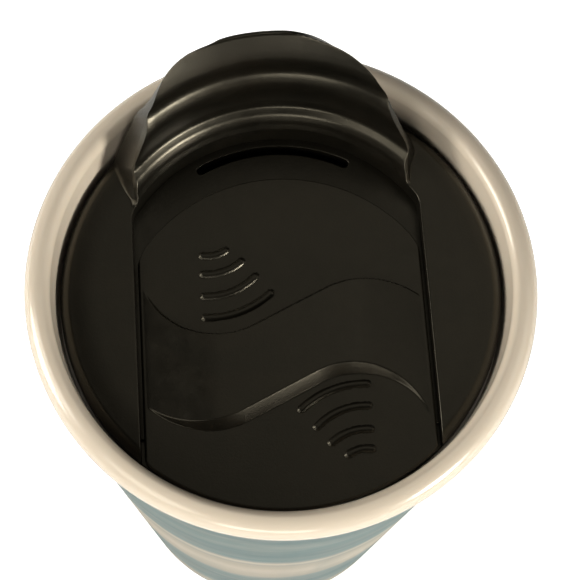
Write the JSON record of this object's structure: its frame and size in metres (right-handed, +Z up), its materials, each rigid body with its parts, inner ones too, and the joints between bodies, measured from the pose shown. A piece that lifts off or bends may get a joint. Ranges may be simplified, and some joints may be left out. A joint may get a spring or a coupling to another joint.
{
  "type": "insulated travel mug",
  "caption": "Double-wall ceramic travel mug with a rolled rim, a plug-in lid with a tall drinking spout, and a ribbed cover that slides open and shut.",
  "frame": {"origin": "centre of the foot pad's flat resting face, on the mug's axis", "axes": "+Z up along the mug's axis, +Y towards the drinking spout at the back of the lid, +X to the right when the spout is behind the slider"},
  "size_m": [0.089, 0.089, 0.1846],
  "materials": {
    "glaze": "gloss",
    "lid_plastic": "fine matte grain",
    "inner_plastic": "satin",
    "seal_silicone": "matte",
    "pad_silicone": "matte"
  },
  "bodies": {
    "mug": {"outer_shell": "glaze", "inner_cup": "glaze", "vent_plug": "seal_silicone", "foot_pad": "pad_silicone"},
    "lid": {"lid_top": "lid_plastic", "lid_skirt": "inner_plastic", "joint_seal": "seal_silicone", "lid_gasket": "seal_silicone", "air_valve": "seal_silicone"},
    "slide_cover": {"slider": "lid_plastic", "slider_pad": "pad_silicone", "slider_clips": "inner_plastic"}
  },
  "joints": [
    {"name": "lid_lift", "type": "slide", "parent": "mug", "child": "lid", "axis": [0, 0, 1], "range_m": [0, 0.06]},
    {"name": "slider_slide", "type": "slide", "parent": "lid", "child": "slide_cover", "axis": [0, 1, 0], "range_m": [0, 0.0082]}
  ]
}
